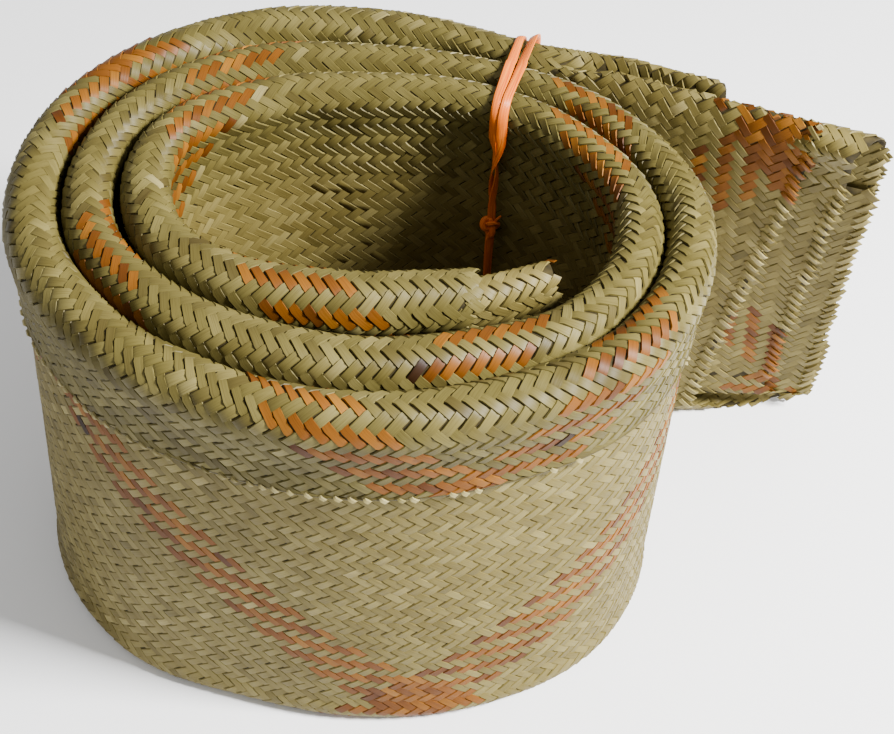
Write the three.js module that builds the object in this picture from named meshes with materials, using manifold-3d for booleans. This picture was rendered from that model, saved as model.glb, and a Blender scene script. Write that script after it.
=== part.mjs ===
// A woven split-bamboo mat, folded lengthwise into a band, rolled up and stood on its edge,
// with a raffia tie looped over the rims of its turns.
// Millimetres, +Z up. The band's folds stand on z = 0 and its thick soft rims are at the top.
import * as THREE from 'three';
import { mergeVertices } from 'three/addons/utils/BufferGeometryUtils.js';
import Module from 'manifold-3d';

// Driving sizes of the folded band
const BAND_HEIGHT = 228;
const CLOTH = 1.5;
const LAYER_PITCH = 3.1;
const FLAP_DROP = 49;
const FLAP_LIFT = 2.0;
const FOOT_HALF = 5.8;
const FOOT_FLAT = 2.2;
const FOOT_PRESS = 0.4;
const RIM_NECK = 16;

// The roll: how its plan sits in the part's frame, and how its foot is shifted under its rims
const PLAN_CENTRE = { x: -28.5, y: -11.6 };
const FOOT_SHIFT = { x: -7, y: 4 };
const FIRST_BEARING = 330;
const STATION_STEP = 12;
const LEAVE_TURN = 996;
const TAIL_RUN = 2.3;
const START_STATIONS = 4;
const TAIL_STATIONS = 7;

// The tie
const TIE_TURNS = [281, 637.5, 994];
const TIE_WIDTH = 6;
const TIE_THICK = 1;
const TIE_GAP = 0.35;
const TIE_SKEW = 1.0;
const TIE_FLOOR = 0.2;
const TIE_LIFT = 3.2;
const TIE_LIFT_SPREAD = 18;
const KNOT = { up: 160, inward: 2.2, radii: [3.4, 5.2, 4.2], end: 9, endRadius: 1.1 };

// Plan of the roll, seen from above. turn: degrees clockwise from the inner end.
// rim: distance of the rim's middle from the centre. out: how far the foot stands out
// from under the rim. half: half the width of the soft rim. The last rows are on the tail,
// which runs straight, so they state no distance.
const PLAN = [
  { turn: -30, rim: 104, out: 0, half: 8.0 },
  { turn: -15, rim: 91, out: 0, half: 9.0 },
  { turn: 0, rim: 71, out: -2, half: 10.0 },
  { turn: 30, rim: 49, out: -3, half: 12.3 },
  { turn: 60, rim: 43.5, out: -3, half: 12.6 },
  { turn: 90, rim: 46.5, out: -3, half: 12.4 },
  { turn: 120, rim: 62.5, out: 0, half: 11.6 },
  { turn: 150, rim: 85, out: 1, half: 10.4 },
  { turn: 180, rim: 97, out: 0, half: 9.4 },
  { turn: 210, rim: 86.5, out: -3, half: 9.4 },
  { turn: 240, rim: 79, out: -3, half: 8.6 },
  { turn: 270, rim: 85, out: -2, half: 7.5 },
  { turn: 300, rim: 98, out: -2, half: 8.2 },
  { turn: 330, rim: 111.5, out: -1, half: 9.4 },
  { turn: 360, rim: 104.5, out: -1, half: 10.6 },
  { turn: 390, rim: 84.5, out: -2, half: 11.6 },
  { turn: 420, rim: 76.5, out: -3, half: 11.8 },
  { turn: 450, rim: 77.5, out: -2, half: 11.6 },
  { turn: 480, rim: 90.5, out: 2, half: 11.0 },
  { turn: 510, rim: 110.5, out: 3, half: 10.0 },
  { turn: 540, rim: 118.5, out: 1, half: 9.6 },
  { turn: 570, rim: 110.5, out: -1, half: 9.8 },
  { turn: 600, rim: 98.5, out: -2, half: 8.8 },
  { turn: 630, rim: 102, out: -1, half: 7.5 },
  { turn: 660, rim: 118, out: -1, half: 8.6 },
  { turn: 690, rim: 132, out: 0, half: 9.5 },
  { turn: 720, rim: 127, out: 1, half: 10.8 },
  { turn: 750, rim: 110.5, out: 1, half: 11.4 },
  { turn: 780, rim: 103.5, out: -1, half: 11.5 },
  { turn: 810, rim: 104, out: 2, half: 11.4 },
  { turn: 840, rim: 116, out: 13, half: 11.2 },
  { turn: 870, rim: 133.5, out: 15, half: 10.8 },
  { turn: 900, rim: 142, out: 11, half: 10.8 },
  { turn: 930, rim: 135.5, out: 4, half: 10.8 },
  { turn: 960, rim: 124, out: 1, half: 9.6 },
  { turn: 975, rim: 120.8, out: 2, half: 8.3 },
  { turn: 990, rim: 120.4, out: 4, half: 7.6 },
  { turn: 1005, rim: 127.5, out: 6, half: 7.8 },
  { turn: 1020, out: 10, half: 9.0 },
  { turn: 1035, out: 18, half: 9.4 },
  { turn: 1050, out: 32, half: 9.0 },
  { turn: 1066, out: 44, half: 8.6 },
];

// Where the cloth's cut ends fall at each corner of the fold, in degrees of turn.
// The layers slipped past each other as the band was rolled, so the ends are stepped.
const CUT = {
  hem: { start: 17, stop: 1030 },
  rimOutside: { start: 15, stop: 1032 },
  rimInside: { start: 11, stop: 1050 },
  footInside: { start: 3, stop: 1030 },
  footOutside: { start: -5, stop: 1060 },
  coreOutside: { start: -7, stop: 1064 },
  coreInside: { start: -8, stop: 1060 },
  innerFootInside: { start: -10, stop: 1049 },
  innerFootOutside: { start: -16, stop: 1056 },
  edge: { start: -20, stop: 1063 },
};

function along(turn, column) {
  // Smooth curve through a column of the plan, by cubic Hermite spans.
  const rows = PLAN.filter((row) => column in row);
  const last = rows.length - 1;
  let i = 0;
  while (i < last - 1 && turn > rows[i + 1].turn) i += 1;
  const at = (k) => rows[Math.min(Math.max(k, 0), last)];
  const slope = (k) => {
    const before = at(k - 1);
    const after = at(k + 1);
    return (after[column] - before[column]) / (after.turn - before.turn);
  };
  const span = at(i + 1).turn - at(i).turn;
  const t = (turn - at(i).turn) / span;
  const rise = at(i + 1)[column] - at(i)[column];
  const a = slope(i) * span - rise;
  const b = -slope(i + 1) * span + rise;
  return at(i)[column] + t * rise + t * (1 - t) * (a * (1 - t) + b * t);
}

function onPlan(turn) {
  const bearing = THREE.MathUtils.degToRad(FIRST_BEARING - turn);
  const radius = along(turn, 'rim');
  return new THREE.Vector2(
    PLAN_CENTRE.x + radius * Math.cos(bearing),
    PLAN_CENTRE.y + radius * Math.sin(bearing),
  );
}

function rimPoint(turn) {
  // Past the turn where the band leaves the roll, it runs straight on.
  if (turn <= LEAVE_TURN) return onPlan(turn);
  const leaving = onPlan(LEAVE_TURN);
  const heading = leaving.clone().sub(onPlan(LEAVE_TURN - 2)).normalize();
  return leaving.addScaledVector(heading, (turn - LEAVE_TURN) * TAIL_RUN);
}

function outward(turn) {
  // Level normal of the band, pointing away from the middle of the roll.
  const run = rimPoint(turn + 1).sub(rimPoint(turn - 1)).normalize();
  return new THREE.Vector2(-run.y, run.x);
}

function footLift(turn) {
  // The folds rise a little where the tie passes under them.
  const away = Math.min(...TIE_TURNS.map((crossing) => Math.abs(turn - crossing)));
  return TIE_LIFT * Math.max(0, 1 - away / TIE_LIFT_SPREAD);
}

function place(turn, across, up) {
  // A point of the folded section, across the band and up it, set on the roll's plan.
  const rim = rimPoint(turn);
  const normal = outward(turn);
  const share = 1 - up / BAND_HEIGHT;
  const lean = across + along(turn, 'out') * share;
  const lift = footLift(turn) * share;
  return new THREE.Vector3(
    rim.x + FOOT_SHIFT.x * share + normal.x * lean,
    rim.y + FOOT_SHIFT.y * share + normal.y * lean,
    up + lift,
  );
}

function arc(middle, radius, from, to, steps) {
  // Points of a round fold, seen along the band, with angles in degrees from outward.
  return Array.from({ length: steps + 1 }, (_, k) => {
    const angle = THREE.MathUtils.degToRad(from + ((to - from) * k) / steps);
    return [middle[0] + radius * Math.cos(angle), middle[1] + radius * Math.sin(angle)];
  });
}

function foldedSection(half) {
  // The middle line of the cloth: flap, rim, inner wall, foot, outer wall, core fold,
  // and two more walls between. Runs are [across, up] points with the corners they join.
  const rimRadius = half - CLOTH / 2;
  const coreRadius = rimRadius - LAYER_PITCH;
  const rimUp = BAND_HEIGHT - half;
  const walls = [-1.5, -0.5, 0.5, 1.5].map((k) => k * LAYER_PITCH);
  const neckUp = rimUp - RIM_NECK;
  const footUp = FOOT_HALF + 1;
  const innerFootUp = footUp + 7;
  const flapAcross = walls[3] + FLAP_LIFT;
  const foot = CLOTH / 2;
  return [
    { from: 'hem', to: 'rimOutside',
      points: [[flapAcross, BAND_HEIGHT - FLAP_DROP], [flapAcross + 0.6, neckUp - 6]] },
    { from: 'rimOutside', to: 'rimInside',
      points: arc([0, rimUp], rimRadius, 0, 180, 6) },
    { from: 'rimInside', to: 'footInside',
      points: [[walls[0] - 0.8, neckUp], [walls[0], footUp + 10]] },
    { from: 'footInside', to: 'footOutside',
      points: [[-FOOT_HALF, footUp], [-FOOT_FLAT, foot], [FOOT_FLAT, foot], [FOOT_HALF, footUp]] },
    { from: 'footOutside', to: 'coreOutside',
      points: [[walls[3], footUp + 10], [walls[3] + 0.4, neckUp]] },
    { from: 'coreOutside', to: 'coreInside',
      points: arc([0.4, rimUp - 0.5], coreRadius, 10, 190, 4) },
    { from: 'coreInside', to: 'innerFootInside',
      points: [[walls[1], neckUp - 2], [walls[1], innerFootUp + 3]] },
    { from: 'innerFootInside', to: 'innerFootOutside',
      points: [[walls[1], innerFootUp], [walls[2], innerFootUp]] },
    { from: 'innerFootOutside', to: 'edge',
      points: [[walls[2], innerFootUp + 3], [walls[2], neckUp - 12]] },
  ];
}

function clothLine(half) {
  // The section's points in order, each with the turn at which its thread starts and stops.
  const line = [];
  for (const run of foldedSection(half)) {
    run.points.forEach(([across, up], k) => {
      const share = k / (run.points.length - 1);
      const start = THREE.MathUtils.lerp(CUT[run.from].start, CUT[run.to].start, share);
      const stop = THREE.MathUtils.lerp(CUT[run.from].stop, CUT[run.to].stop, share);
      line.push({ across, up, start, stop });
    });
  }
  return line;
}

function facing(line, k) {
  // Unit normal of the cloth's middle line at a point, to the outside of the fold.
  const before = line[Math.max(k - 1, 0)];
  const after = line[Math.min(k + 1, line.length - 1)];
  const a = after.across - before.across;
  const u = after.up - before.up;
  const size = Math.hypot(a, u);
  return { across: u / size, up: -a / size };
}

function stationTurns(thread) {
  // Stations along the band for one thread of the section, stretched at its two cut ends.
  const full = [];
  const first = START_STATIONS * STATION_STEP;
  for (let turn = first; turn <= LEAVE_TURN; turn += STATION_STEP) full.push(turn);
  const opening = Array.from({ length: START_STATIONS }, (_, k) =>
    THREE.MathUtils.lerp(thread.start, first, k / START_STATIONS));
  const closing = Array.from({ length: TAIL_STATIONS }, (_, k) =>
    THREE.MathUtils.lerp(LEAVE_TURN, thread.stop, (k + 1) / TAIL_STATIONS));
  return [...opening, ...full, ...closing];
}

function matGeometry() {
  // One closed slab of cloth: every station holds the outer and then the inner face's points.
  const threads = clothLine(PLAN[0].half);
  const turns = threads.map(stationTurns);
  const across = threads.length;
  const stations = turns[0].length;
  const positions = [];
  for (let s = 0; s < stations; s += 1) {
    for (const side of [1, -1]) {
      for (let k = 0; k < across; k += 1) {
        const turn = turns[k][s];
        const line = clothLine(along(turn, 'half'));
        const normal = facing(line, k);
        const shift = (side * CLOTH) / 2;
        const up = line[k].up + normal.up * shift;
        const pressed = up < FOOT_PRESS ? 0 : up;
        const point = place(turn, line[k].across + normal.across * shift, pressed);
        positions.push(point.x, point.y, point.z);
      }
    }
  }
  const index = [];
  const quad = (a, b, c, d) => index.push(a, b, c, a, c, d);
  const at = (s, side, k) => s * 2 * across + side * across + k;
  for (let s = 0; s < stations - 1; s += 1) {
    for (let k = 0; k < across - 1; k += 1) {
      quad(at(s, 0, k), at(s, 0, k + 1), at(s + 1, 0, k + 1), at(s + 1, 0, k));
      quad(at(s, 1, k), at(s + 1, 1, k), at(s + 1, 1, k + 1), at(s, 1, k + 1));
    }
    quad(at(s, 0, 0), at(s + 1, 0, 0), at(s + 1, 1, 0), at(s, 1, 0));
    const e = across - 1;
    quad(at(s, 0, e), at(s, 1, e), at(s + 1, 1, e), at(s + 1, 0, e));
  }
  const z = stations - 1;
  for (let k = 0; k < across - 1; k += 1) {
    quad(at(0, 0, k), at(0, 1, k), at(0, 1, k + 1), at(0, 0, k + 1));
    quad(at(z, 0, k), at(z, 0, k + 1), at(z, 1, k + 1), at(z, 1, k));
  }
  const geometry = new THREE.BufferGeometry();
  geometry.setAttribute('position', new THREE.Float32BufferAttribute(positions, 3));
  geometry.setIndex(index);
  return geometry;
}

function tiePlane() {
  // The tie's upright plane runs from the inner turn's rim to the outer turn's.
  const near = rimPoint(TIE_TURNS[0]);
  const far = rimPoint(TIE_TURNS[2]);
  const along = far.clone().sub(near);
  const reach = along.length();
  return { near, along: along.normalize(), reach };
}

function tieLoop(gap) {
  // The tie's loop round the three turns, [out, up], at a gap from what it holds. It crosses
  // the rims at a slant, so its legs stand off by the skew.
  const { reach } = tiePlane();
  const [inner, , outer] = TIE_TURNS;
  const low = TIE_FLOOR + TIE_GAP + TIE_THICK - gap;
  const footSide = FOOT_HALF + CLOTH / 2 + TIE_SKEW + gap;
  const nearFoot = along(inner, 'out') - footSide;
  const farFoot = reach + along(outer, 'out') + footSide;
  const shoulder = (turn, out, from, to) => {
    const half = along(turn, 'half');
    return arc([out, BAND_HEIGHT - half], half + gap, from, to, 4);
  };
  return [
    ...shoulder(inner, -TIE_SKEW, 180, 90),
    ...shoulder(outer, reach + TIE_SKEW, 90, 0),
    [farFoot, FOOT_HALF + 2],
    [farFoot - 3, low],
    [nearFoot + 3, low],
    [nearFoot, FOOT_HALF + 2],
  ];
}

function tieToPlan(geometry) {
  // Sets a shape drawn as out, up and sideways into the plane of the tie.
  const plane = tiePlane();
  const points = geometry.attributes.position;
  for (let k = 0; k < points.count; k += 1) {
    const out = points.getX(k);
    const up = points.getY(k);
    const side = points.getZ(k);
    const share = 1 - up / BAND_HEIGHT;
    points.setXYZ(
      k,
      plane.near.x + out * plane.along.x + side * plane.along.y + FOOT_SHIFT.x * share,
      plane.near.y + out * plane.along.y - side * plane.along.x + FOOT_SHIFT.y * share,
      up,
    );
  }
  return geometry;
}

function asSolid(wasm, geometry) {
  const bare = geometry.clone();
  bare.deleteAttribute('normal');
  bare.deleteAttribute('uv');
  const merged = tieToPlan(mergeVertices(bare, 1e-4));
  return new wasm.Manifold(new wasm.Mesh({
    numProp: 3,
    vertProperties: new Float32Array(merged.attributes.position.array),
    triVerts: new Uint32Array(merged.index.array),
  }));
}

function asGeometry(solid) {
  const mesh = solid.getMesh();
  const geometry = new THREE.BufferGeometry();
  geometry.setAttribute('position', new THREE.BufferAttribute(mesh.vertProperties, 3));
  geometry.setIndex(new THREE.BufferAttribute(mesh.triVerts, 1));
  return geometry;
}

async function tieGeometry() {
  // A flat closed loop of raffia with one knot on its inner leg and a short loose end.
  const wasm = await Module();
  wasm.setup();
  const outline = (gap) => tieLoop(gap).map(([out, up]) => new THREE.Vector2(out, up));
  const loop = new THREE.Shape(outline(TIE_GAP + TIE_THICK));
  loop.holes.push(new THREE.Path(outline(TIE_GAP).reverse()));
  const band = new THREE.ExtrudeGeometry(loop, { depth: TIE_WIDTH, bevelEnabled: false });
  band.translate(0, 0, -TIE_WIDTH / 2);
  const legOut = -along(TIE_TURNS[0], 'half') - TIE_SKEW - TIE_GAP;
  const knot = new THREE.SphereGeometry(1, 12, 8);
  knot.scale(...KNOT.radii);
  knot.translate(legOut - KNOT.inward, KNOT.up, 0);
  const end = new THREE.ConeGeometry(KNOT.endRadius, KNOT.end, 6);
  end.rotateX(-0.6);
  end.translate(legOut - KNOT.inward, KNOT.up + KNOT.end / 2, -KNOT.end / 3);
  const pieces = [band, knot, end].map((piece) => asSolid(wasm, piece));
  return asGeometry(pieces[0].add(pieces[1]).add(pieces[2]));
}

function named(name, geometry, color, roughness) {
  const material = new THREE.MeshStandardMaterial({ color, roughness, metalness: 0 });
  const mesh = new THREE.Mesh(geometry, material);
  mesh.name = name;
  return mesh;
}

const group = new THREE.Group();
group.add(named('mat', matGeometry(), 0xa39a68, 0.55));
group.add(named('tie', await tieGeometry(), 0xe67828, 0.4));

export default group;
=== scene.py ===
# %% [markdown]
# A sleeping mat plaited from split bamboo. It is folded lengthwise into a band of four layers,
# rolled up, stood on its folded edge and held by two strands of raffia. The solids of the part
# already have the fold and the roll, so this lesson only dresses them: the sheet, the strips of
# the weave that show, the hem, the frayed ends and the tie.

# %% Load the frame
import math

import bmesh
import bpy
import numpy as np
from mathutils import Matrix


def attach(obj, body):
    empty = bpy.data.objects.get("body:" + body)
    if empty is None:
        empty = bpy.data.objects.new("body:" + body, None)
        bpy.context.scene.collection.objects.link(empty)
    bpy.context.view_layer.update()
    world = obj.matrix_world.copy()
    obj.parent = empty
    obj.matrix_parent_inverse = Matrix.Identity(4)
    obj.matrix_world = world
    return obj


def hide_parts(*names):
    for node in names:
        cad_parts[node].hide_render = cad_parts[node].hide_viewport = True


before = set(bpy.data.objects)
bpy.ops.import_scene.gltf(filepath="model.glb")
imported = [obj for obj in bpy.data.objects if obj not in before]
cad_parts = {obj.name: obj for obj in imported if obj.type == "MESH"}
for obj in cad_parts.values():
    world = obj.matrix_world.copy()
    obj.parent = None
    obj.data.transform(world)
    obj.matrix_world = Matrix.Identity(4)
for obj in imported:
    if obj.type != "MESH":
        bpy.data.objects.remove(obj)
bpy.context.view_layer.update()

# %% [markdown]
# The roll is known from a few sizes in millimetres: the height of the band, how the cloth folds in
# it, and a short table of where each turn lies in plan. The same sizes shape the solids, so
# whatever is placed by them lies on the solids.

# %% Sizes of the band and of the roll
MM = 0.001
BAND_HEIGHT = 228
CLOTH = 1.5
LAYER_PITCH = 3.1
FLAP_DROP = 49
FLAP_LIFT = 2.0
FOOT_HALF = 5.8
FOOT_FLAT = 2.2
RIM_NECK = 16
PLAN_CENTRE = (-28.5, -11.6)
FOOT_SHIFT = (-7, 4)
FIRST_BEARING = 330
LEAVE_TURN = 996
TAIL_RUN = 2.3
TIE_TURNS = (281, 637.5, 994)
TIE_LIFT = 3.2
TIE_LIFT_SPREAD = 18

# One row for each station. turn: degrees clockwise from the inner end. rim: distance of the rim's
# middle from the centre, none on the straight tail. out: how far the foot stands out from under
# the rim. half: half the width of the soft rim.
NONE = float("nan")
PLAN = np.array([
    (-30, 104, 0, 8.0), (-15, 91, 0, 9.0), (0, 71, -2, 10.0), (30, 49, -3, 12.3),
    (60, 43.5, -3, 12.6), (90, 46.5, -3, 12.4), (120, 62.5, 0, 11.6), (150, 85, 1, 10.4),
    (180, 97, 0, 9.4), (210, 86.5, -3, 9.4), (240, 79, -3, 8.6), (270, 85, -2, 7.5),
    (300, 98, -2, 8.2), (330, 111.5, -1, 9.4), (360, 104.5, -1, 10.6), (390, 84.5, -2, 11.6),
    (420, 76.5, -3, 11.8), (450, 77.5, -2, 11.6), (480, 90.5, 2, 11.0), (510, 110.5, 3, 10.0),
    (540, 118.5, 1, 9.6), (570, 110.5, -1, 9.8), (600, 98.5, -2, 8.8), (630, 102, -1, 7.5),
    (660, 118, -1, 8.6), (690, 132, 0, 9.5), (720, 127, 1, 10.8), (750, 110.5, 1, 11.4),
    (780, 103.5, -1, 11.5), (810, 104, 2, 11.4), (840, 116, 13, 11.2), (870, 133.5, 15, 10.8),
    (900, 142, 11, 10.8), (930, 135.5, 4, 10.8), (960, 124, 1, 9.6), (975, 120.8, 2, 8.3),
    (990, 120.4, 4, 7.6), (1005, 127.5, 6, 7.8), (1020, NONE, 10, 9.0), (1035, NONE, 18, 9.4),
    (1050, NONE, 32, 9.0), (1066, NONE, 44, 8.6),
])
TURN, RIM, OUT, HALF = range(4)

# Where the cloth's cut ends fall at each corner of the fold, in degrees of turn: start, stop.
# On the tail the inner layers reach a little further than in the solids, over the layers behind.
CUT = {
    "hem": (17, 1030), "rim outside": (15, 1031), "lip": (13, 1034), "crown": (12, 1050),
    "rim inside": (11, 1052),
    "foot inside": (3, 1039), "foot outside": (-5, 1060), "core outside": (-7, 1064),
    "core inside": (-8, 1059.5), "inner foot inside": (-10, 1053.5),
    "inner foot outside": (-16, 1063), "edge": (-20, 1064.5),
}
print("rows of the plan:", len(PLAN))

# %% [markdown]
# Two curves carry everything: the roll seen from above, and the fold seen along the band. Both are
# smooth curves through a few rows, and one function serves them both.

# %% A smooth curve through rows, and the roll's plan
def smooth(knots, values, at):
    """Cubic Hermite spans through values, one column or several, read at the places in at."""
    knots = np.asarray(knots, float)
    values = np.asarray(values, float).reshape(len(knots), -1)
    at = np.asarray(at, float)
    ends = np.arange(len(knots))
    low = np.maximum(ends - 1, 0)
    high = np.minimum(ends + 1, len(knots) - 1)
    slopes = (values[high] - values[low]) / (knots[high] - knots[low])[:, None]
    i = np.clip(np.searchsorted(knots, at) - 1, 0, len(knots) - 2)
    span = (knots[i + 1] - knots[i])[..., None]
    t = (at - knots[i])[..., None] / span
    rise = values[i + 1] - values[i]
    a = slopes[i] * span - rise
    b = rise - slopes[i + 1] * span
    return values[i] + t * rise + t * (1 - t) * (a * (1 - t) + b * t)


def along(turn, column):
    rows = PLAN[~np.isnan(PLAN[:, column])]
    return smooth(rows[:, TURN], rows[:, column], turn)[..., 0]


def on_plan(turn):
    bearing = np.radians(FIRST_BEARING - turn)
    ray = np.stack([np.cos(bearing), np.sin(bearing)], -1)
    return np.array(PLAN_CENTRE) + along(turn, RIM)[..., None] * ray


def rim_point(turn):
    """Middle of the rim in plan. Past the turn where the band leaves the roll, it runs straight."""
    turn = np.asarray(turn, float)
    leaving = on_plan(np.array(LEAVE_TURN, float))
    heading = leaving - on_plan(np.array(LEAVE_TURN - 2.0))
    heading /= np.linalg.norm(heading)
    past = np.maximum(turn - LEAVE_TURN, 0)[..., None] * TAIL_RUN
    return on_plan(np.minimum(turn, LEAVE_TURN)) + heading * past


def outward(turn):
    run = rim_point(turn + 1.0) - rim_point(turn - 1.0)
    run /= np.linalg.norm(run, axis=-1, keepdims=True)
    return np.stack([-run[..., 1], run[..., 0]], -1)


def place(turn, across, up):
    """A point of the folded section, across the band and up it, set on the roll's plan."""
    share = 1 - up / BAND_HEIGHT
    lean = across + along(turn, OUT) * share
    away = np.min([np.abs(turn - crossing) for crossing in TIE_TURNS], axis=0)
    lift = TIE_LIFT * np.maximum(0, 1 - away / TIE_LIFT_SPREAD) * share
    plan = rim_point(turn) + np.array(FOOT_SHIFT) * share[..., None]
    plan = plan + outward(turn) * lean[..., None]
    return np.concatenate([plan, (up + lift)[..., None]], -1)


rim_turns = np.arange(-32, 1076, 0.5)
rim_steps = np.linalg.norm(np.diff(rim_point(rim_turns), axis=0), axis=1)
rim_length = np.concatenate([[0], np.cumsum(rim_steps)])
print("length of the rim line, mm:", round(rim_length[-1]))

# %% [markdown]
# Seen along the band, the cloth comes from the hem of the flap, goes over the soft rim, down the
# inner wall, under the foot, up the outer wall, over the core fold, and down and up once more. Its
# path length from the hem is the cloth's own width, so a strip's place in the flat weave gives its
# place in the fold.

# %% The fold
REFERENCE_HALF = 10.5
# On the tail the rim is pinched to a narrow lip behind a crease: across, and down from the top.
PINCHED_RIM = [(9.0, 10.0), (10.4, 4.5), (8.8, 0.6), (6.4, 1.8), (4.2, 11.5), (1.8, 6.5), (-0.8, 1.2)]
PINCHED_NECK_RISE = 9.0
PINCH_TURNS = (997, 1014)
# Under the crease the core fold lies lower and narrower, until the crease ends at the cut edge.
SUNK_CORE_DROP = 8.5
SUNK_CORE_RADIUS = 3.2
SINK_TURNS = (997, 1014, 1040, 1052)
# How far the layers bulge across the band, and how far their bends lie up or down, in mm.
FLAP_BULGE = 0.6
FLAP_BEND_DROP = 6
INNER_BULGE = 0.8
OUTER_BULGE = 0.4
WALL_START_RISE = 10
FOOT_RISE = 1
INNER_FOOT_RISE = 7
INNER_FOOT_BEND = 3
CORE_ACROSS = 0.4
CORE_DROP = 0.5
CORE_NECK_DROP = 2
EDGE_DROP = 12
# The rim's arc has seven points, and the cut ends have a step between its fifth and its sixth.
RIM_STEPS = 6
LIP_POINTS = 5
CORE_ARC = (10, 190, 4)


def arc(middle, radius, start, stop, steps):
    angles = np.radians(np.linspace(start, stop, steps + 1))
    return [(middle[0] + radius * math.cos(a), middle[1] + radius * math.sin(a)) for a in angles]


def folded_section(half, pinched=False, sunk=False):
    """Runs of the cloth's middle line, with the corners that they join, as across and up."""
    rim_radius = half - CLOTH / 2
    core_radius = rim_radius - LAYER_PITCH
    rim_up = BAND_HEIGHT - half
    walls = [k * LAYER_PITCH for k in (-1.5, -0.5, 0.5, 1.5)]
    neck = rim_up - RIM_NECK
    foot_up = FOOT_HALF + FOOT_RISE
    wall_start = foot_up + WALL_START_RISE
    inner_foot = foot_up + INNER_FOOT_RISE
    inner_start = inner_foot + INNER_FOOT_BEND
    flap = walls[3] + FLAP_LIFT
    foot = CLOTH / 2
    rim = arc((0, rim_up), rim_radius, 0, 180, RIM_STEPS)
    if pinched:
        rim = [(across, BAND_HEIGHT - down) for across, down in PINCHED_RIM]
    inner_neck = neck + (PINCHED_NECK_RISE if pinched else 0)
    core_middle = (CORE_ACROSS, rim_up - (SUNK_CORE_DROP if sunk else CORE_DROP))
    core = arc(core_middle, SUNK_CORE_RADIUS if sunk else core_radius, *CORE_ARC)
    return [
        ("hem", "rim outside", [(flap, BAND_HEIGHT - FLAP_DROP),
                                (flap + FLAP_BULGE, neck - FLAP_BEND_DROP)]),
        ("rim outside", "lip", rim[:LIP_POINTS]),
        ("crown", "rim inside", rim[LIP_POINTS:]),
        ("rim inside", "foot inside", [(walls[0] - INNER_BULGE, inner_neck), (walls[0], wall_start)]),
        ("foot inside", "foot outside", [(-FOOT_HALF, foot_up), (-FOOT_FLAT, foot),
                                         (FOOT_FLAT, foot), (FOOT_HALF, foot_up)]),
        ("foot outside", "core outside", [(walls[3], wall_start), (walls[3] + OUTER_BULGE, neck)]),
        ("core outside", "core inside", core),
        ("core inside", "inner foot inside", [(walls[1], neck - CORE_NECK_DROP),
                                              (walls[1], inner_start)]),
        ("inner foot inside", "inner foot outside", [(walls[1], inner_foot),
                                                     (walls[2], inner_foot)]),
        ("inner foot outside", "edge", [(walls[2], inner_start), (walls[2], neck - EDGE_DROP)]),
    ]


def section_points(half, **form):
    return np.array([point for _, _, points in folded_section(half, **form) for point in points])


def cut_turns():
    """For each point of the section, the turns at which its thread starts and stops."""
    rows = []
    for corner, next_corner, points in folded_section(REFERENCE_HALF):
        for share in np.linspace(0, 1, len(points)):
            rows.append([(1 - share) * CUT[corner][k] + share * CUT[next_corner][k] for k in (0, 1)])
    return np.array(rows)


SECTION = section_points(REFERENCE_HALF)
SECTION_GROWTH = section_points(REFERENCE_HALF + 1) - SECTION
SECTION_PINCH = section_points(REFERENCE_HALF, pinched=True) - SECTION
SECTION_SINK = section_points(REFERENCE_HALF, sunk=True) - SECTION
fold_steps = np.linalg.norm(np.diff(SECTION, axis=0), axis=1)
FOLD = np.concatenate([[0], np.cumsum(fold_steps)])
CUTS = cut_turns()
mat_width = FOLD[-1]
print("width of the cloth along the fold, mm:", round(mat_width))

# %% [markdown]
# A lookup grid of places and of outward directions over the whole cloth makes the next steps fast:
# a strip asks it for its place by its turn and its distance from the hem along the fold. The fold
# isn't quite parallel to the weave: on the last turn it wanders, by a tenth of its length, and the
# layers slipped a little along the band when it was rolled. One value holds that slip, and a short
# table how far the weave drifts along the band and across it.

# %% From the flat weave to the rolled mat
GRID_TURNS = np.arange(-28, 1074, 1.0)
GRID_FOLD = np.linspace(0, mat_width, 900)
# slip along the band for each millimetre along the fold: 18 mm over 314
SLIP = 18 / 314
# turn, drift of the weave along the band, and drift across it, in mm
DRIFT = np.array([(-30, 3, 28), (190, 3, 28), (313, -12, 30), (661, -12, 28), (724, 0, 12),
                  (754, -3, 3), (790, -8, -3), (900, -7, -39), (1047, -10, -86), (1070, -10, -93)])
# At the front of the last turn the flap and the rim slipped down further than the walls, in mm.
FLAP_SLIP = 5.5
FLAP_SLIP_TURNS = (700, 750, 800, 850)
FLAP_SLIP_FOLD = (110, 280)
CLOSING_ROUNDS = 6


def fold_grid():
    turns, fold = np.meshgrid(GRID_TURNS, GRID_FOLD, indexing="ij")
    base = smooth(FOLD, SECTION, GRID_FOLD)
    growth = smooth(FOLD, SECTION_GROWTH, GRID_FOLD)
    pinch = smooth(FOLD, SECTION_PINCH, GRID_FOLD)
    pinched = np.interp(GRID_TURNS, PINCH_TURNS, (0, 1))[:, None, None]
    sunk = np.interp(GRID_TURNS, SINK_TURNS, (0, 1, 1, 0))[:, None, None]
    grown = (along(GRID_TURNS, HALF) - REFERENCE_HALF)[:, None, None] * (1 - pinched)
    section = base[None] + growth[None] * grown + pinch[None] * pinched
    section = section + smooth(FOLD, SECTION_SINK, GRID_FOLD)[None] * sunk
    places = place(turns, section[..., 0], section[..., 1])
    run = np.gradient(places, axis=0)
    climb = np.gradient(places, axis=1)
    facing = np.cross(climb, run)
    facing /= np.linalg.norm(facing, axis=-1, keepdims=True)
    return places, facing


grid_places, grid_facing = fold_grid()


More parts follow.
